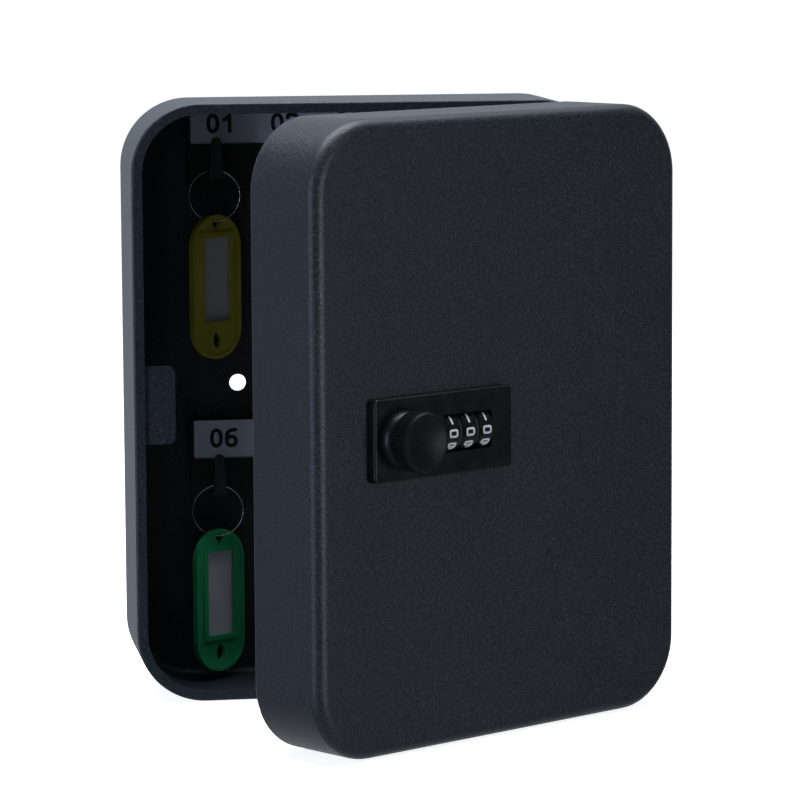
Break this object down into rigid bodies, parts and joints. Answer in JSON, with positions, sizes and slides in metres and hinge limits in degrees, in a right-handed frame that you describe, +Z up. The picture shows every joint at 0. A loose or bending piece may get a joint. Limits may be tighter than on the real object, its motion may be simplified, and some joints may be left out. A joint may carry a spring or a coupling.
{
  "type": "wall key cabinet",
  "caption": "Wall key cabinet of two pressed steel trays, with numbered hooks, tags on rings and a hinged door with a knob and number-wheel lock.",
  "frame": {"origin": "middle of the flat back face, which lies on the wall", "axes": "+Y into the wall, +Z up, +X to the right as seen from the room; the front faces -Y; the door rests open by 34 degrees"},
  "size_m": [0.1762, 0.1614, 0.2],
  "materials": {
    "powder_coat": "fine textured powder coat",
    "powder_coat_door": "fine textured powder coat",
    "zinc_steel": "zinc plated",
    "black_steel": "satin black coating",
    "foam_tape": "matt foam",
    "rail_plastic": "moulded, satin",
    "label_card": "matt printed card",
    "lock_black": "satin black zinc casting",
    "lock_case": "moulded, matt",
    "knob_black": "satin black",
    "wheel_black": "moulded, satin",
    "spring_steel": "polished",
    "ring_steel": "nickel plated",
    "tag_yellow": "moulded, glossy",
    "tag_green": "moulded, glossy",
    "card_paper": "matt",
    "clear_plastic": "clear moulded sheet",
    "button_red": "moulded"
  },
  "bodies": {
    "body": {"body_shell": "powder_coat", "strike_plate": "powder_coat", "hinge_leaf_body": "black_steel", "hinge_pin": "zinc_steel", "hook_rail_top": "rail_plastic", "hook_rail_bottom": "rail_plastic", "rail_tape_body": "foam_tape", "label_strip_top": "label_card", "label_strip_bottom": "label_card"},
    "door": {"door_shell": "powder_coat_door", "hinge_leaf_door": "black_steel", "door_rail_top": "rail_plastic", "door_rail_bottom": "rail_plastic", "rail_tape_door": "foam_tape", "door_label_top": "label_card", "door_label_bottom": "label_card", "lock_bezel": "lock_black", "knob_collar": "lock_black", "lock_housing": "lock_case", "lock_rear_cover": "lock_case", "lock_screws": "zinc_steel", "wheel_axle": "spring_steel", "detent_spring": "spring_steel"},
    "knob": {"knob": "knob_black", "knob_spindle": "zinc_steel", "lock_cam": "zinc_steel", "cam_nut": "zinc_steel"},
    "wheel_1": {"digit_wheel_1": "wheel_black"},
    "wheel_2": {"digit_wheel_2": "wheel_black"},
    "wheel_3": {"digit_wheel_3": "wheel_black"},
    "reset_button": {"reset_button": "button_red"},
    "ring_yellow": {"key_ring_yellow": "ring_steel"},
    "ring_green": {"key_ring_green": "ring_steel"},
    "tag_yellow": {"tag_body_yellow": "tag_yellow", "tag_insert_yellow": "card_paper", "tag_window_yellow": "clear_plastic"},
    "tag_green": {"tag_body_green": "tag_green", "tag_insert_green": "card_paper", "tag_window_green": "clear_plastic"}
  },
  "joints": [
    {"name": "door_swing", "type": "hinge", "parent": "body", "child": "door", "pos_m": [0.0822, -0.046, 0], "axis": [0, 0, 1], "range_deg": [-34, 146]},
    {"name": "knob_turn", "type": "hinge", "parent": "door", "child": "knob", "pos_m": [-0.00791, -0.14417, 0.0004], "axis": [-0.5592, 0.829, 0], "range_deg": [0, 90]},
    {"name": "wheel_1_turn", "type": "hinge", "parent": "door", "child": "wheel_1", "pos_m": [0.00812, -0.13083, 0.0004], "axis": [0.829, 0.5592, 0], "continuous": true},
    {"name": "wheel_2_turn", "type": "hinge", "parent": "door", "child": "wheel_2", "pos_m": [0.01413, -0.12677, 0.0004], "axis": [0.829, 0.5592, 0], "continuous": true},
    {"name": "wheel_3_turn", "type": "hinge", "parent": "door", "child": "wheel_3", "pos_m": [0.02014, -0.12272, 0.0004], "axis": [0.829, 0.5592, 0], "continuous": true},
    {"name": "reset_press", "type": "slide", "parent": "door", "child": "reset_button", "axis": [0.5592, -0.829, 0], "range_m": [0, 0.0012], "stiffness_N_per_m": 150},
    {"name": "ring_yellow_swing", "type": "hinge", "parent": "body", "child": "ring_yellow", "pos_m": [-0.0491, -0.013, 0.0671], "axis": [0, 1, 0], "range_deg": [-15, 15]},
    {"name": "tag_yellow_tilt", "type": "hinge", "parent": "ring_yellow", "child": "tag_yellow", "pos_m": [-0.0491, -0.013, 0.05845], "axis": [1, 0, 0], "range_deg": [-20, 5]},
    {"name": "ring_green_swing", "type": "hinge", "parent": "body", "child": "ring_green", "pos_m": [-0.0491, -0.013, -0.0404], "axis": [0, 1, 0], "range_deg": [-15, 15]},
    {"name": "tag_green_tilt", "type": "hinge", "parent": "ring_green", "child": "tag_green", "pos_m": [-0.0491, -0.013, -0.04905], "axis": [1, 0, 0], "range_deg": [-20, 5]}
  ]
}
